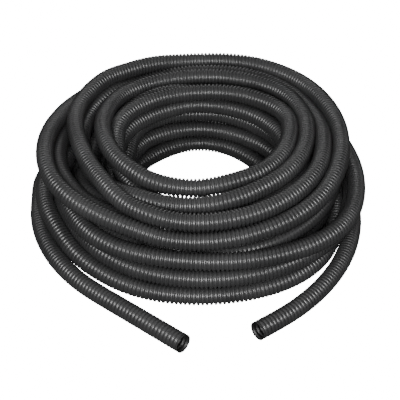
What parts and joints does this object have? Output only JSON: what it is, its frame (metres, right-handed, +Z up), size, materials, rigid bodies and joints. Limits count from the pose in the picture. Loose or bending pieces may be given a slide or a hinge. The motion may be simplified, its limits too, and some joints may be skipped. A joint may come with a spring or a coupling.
{
  "type": "corrugated conduit",
  "caption": "Coil of black corrugated plastic conduit, wound in stacked rows round an open eye, with two hollow free ends that run out on the floor at the front.",
  "frame": {"origin": "on the floor, on the coil's axis, in the middle of the coil's eye", "axes": "+Z up along the coil's axis; -Y towards the side where the two free ends run out; +X to the right seen from that side"},
  "size_m": [0.4663, 0.5469, 0.1186],
  "materials": {
    "conduit": "semi-gloss black"
  },
  "bodies": {
    "root": {"coil": "conduit", "left_end": "conduit", "right_end": "conduit"}
  },
  "joints": []
}
